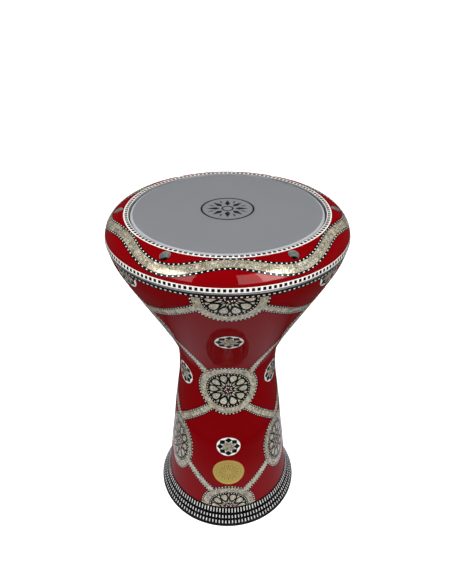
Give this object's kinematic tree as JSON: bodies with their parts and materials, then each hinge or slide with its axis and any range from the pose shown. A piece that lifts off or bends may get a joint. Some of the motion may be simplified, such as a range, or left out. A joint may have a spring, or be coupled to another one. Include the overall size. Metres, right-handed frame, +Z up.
{
  "type": "goblet drum",
  "caption": "Goblet drum with a flared foot, narrow waist and wide bowl, a screw-tuned film head under a rounded ring, and inlaid bands and rosettes.",
  "frame": {"origin": "centre of the foot's underside, where the drum stands", "axes": "+Z up along the drum's axis; the front pattern column faces -Y"},
  "size_m": [0.279, 0.279, 0.4501],
  "materials": {
    "red_lacquer": "gloss red lacquer over cast aluminium",
    "grey_film": "satin translucent polyester film",
    "pearl": "polished mother-of-pearl tiles under lacquer",
    "white_and_black": "polished white and black inlay",
    "black_band": "gloss black with white inlay",
    "gold": "satin gold plate",
    "bare_aluminium": "bare machined aluminium",
    "black_steel": "black oxide steel",
    "zinc": "zinc plated"
  },
  "bodies": {
    "shell": {"shell": "red_lacquer", "drumhead_film": "grey_film", "foot_band": "black_band", "shell_edge_band": "black_band", "badge": "gold", "medallion_top_1": "pearl", "medallion_top_2": "pearl", "medallion_top_3": "pearl", "medallion_waist_1": "pearl", "medallion_waist_2": "pearl", "medallion_waist_3": "pearl", "medallion_foot_1": "pearl", "medallion_foot_2": "pearl", "medallion_foot_3": "pearl", "medallion_cone_1": "pearl", "medallion_cone_2": "pearl", "medallion_cone_3": "pearl", "medallion_stem_1": "pearl", "medallion_stem_2": "pearl", "medallion_stem_3": "pearl", "rosette_cone_1": "white_and_black", "rosette_cone_2": "white_and_black", "rosette_cone_3": "white_and_black", "rosette_stem_1": "white_and_black", "rosette_stem_2": "white_and_black", "rosette_stem_3": "white_and_black", "rosette_waist_1": "white_and_black", "rosette_waist_2": "white_and_black", "rosette_waist_3": "white_and_black", "rosette_seam_1": "white_and_black", "rosette_seam_2": "white_and_black", "rosette_seam_3": "white_and_black", "rosette_seam_4": "white_and_black"},
    "tuning_ring": {"tuning_ring": "red_lacquer", "flesh_hoop": "bare_aluminium", "ring_edge_band": "white_and_black", "ring_lip_band": "white_and_black", "ring_ribbon": "pearl", "bolt_washer_1": "zinc", "bolt_washer_2": "zinc", "bolt_washer_3": "zinc", "bolt_washer_4": "zinc", "bolt_washer_5": "zinc", "bolt_washer_6": "zinc"},
    "tuning_bolt_1": {"tuning_bolt_1": "black_steel"},
    "tuning_bolt_2": {"tuning_bolt_2": "black_steel"},
    "tuning_bolt_3": {"tuning_bolt_3": "black_steel"},
    "tuning_bolt_4": {"tuning_bolt_4": "black_steel"},
    "tuning_bolt_5": {"tuning_bolt_5": "black_steel"},
    "tuning_bolt_6": {"tuning_bolt_6": "black_steel"}
  },
  "joints": [
    {"name": "tuning_travel", "type": "slide", "parent": "shell", "child": "tuning_ring", "axis": [0, 0, 1], "range_m": [0, 0.004]},
    {"name": "bolt_turn_1", "type": "hinge", "parent": "tuning_ring", "child": "tuning_bolt_1", "pos_m": [0.06361, -0.10586, 0.4363], "axis": [0, 0, 1], "range_deg": [-5, 1445]},
    {"name": "bolt_turn_2", "type": "hinge", "parent": "tuning_ring", "child": "tuning_bolt_2", "pos_m": [0.12348, 0.00216, 0.4363], "axis": [0, 0, 1], "range_deg": [-5, 1445]},
    {"name": "bolt_turn_3", "type": "hinge", "parent": "tuning_ring", "child": "tuning_bolt_3", "pos_m": [0.05987, 0.10802, 0.4363], "axis": [0, 0, 1], "range_deg": [-5, 1445]},
    {"name": "bolt_turn_4", "type": "hinge", "parent": "tuning_ring", "child": "tuning_bolt_4", "pos_m": [-0.06361, 0.10586, 0.4363], "axis": [0, 0, 1], "range_deg": [-5, 1445]},
    {"name": "bolt_turn_5", "type": "hinge", "parent": "tuning_ring", "child": "tuning_bolt_5", "pos_m": [-0.12348, -0.00216, 0.4363], "axis": [0, 0, 1], "range_deg": [-5, 1445]},
    {"name": "bolt_turn_6", "type": "hinge", "parent": "tuning_ring", "child": "tuning_bolt_6", "pos_m": [-0.05987, -0.10802, 0.4363], "axis": [0, 0, 1], "range_deg": [-5, 1445]}
  ],
  "couplings": [
    {"joint": "bolt_turn_1", "follows": "tuning_travel", "rad_per_m": 6283.2},
    {"joint": "bolt_turn_2", "follows": "tuning_travel", "rad_per_m": 6283.2},
    {"joint": "bolt_turn_3", "follows": "tuning_travel", "rad_per_m": 6283.2},
    {"joint": "bolt_turn_4", "follows": "tuning_travel", "rad_per_m": 6283.2},
    {"joint": "bolt_turn_5", "follows": "tuning_travel", "rad_per_m": 6283.2},
    {"joint": "bolt_turn_6", "follows": "tuning_travel", "rad_per_m": 6283.2}
  ]
}
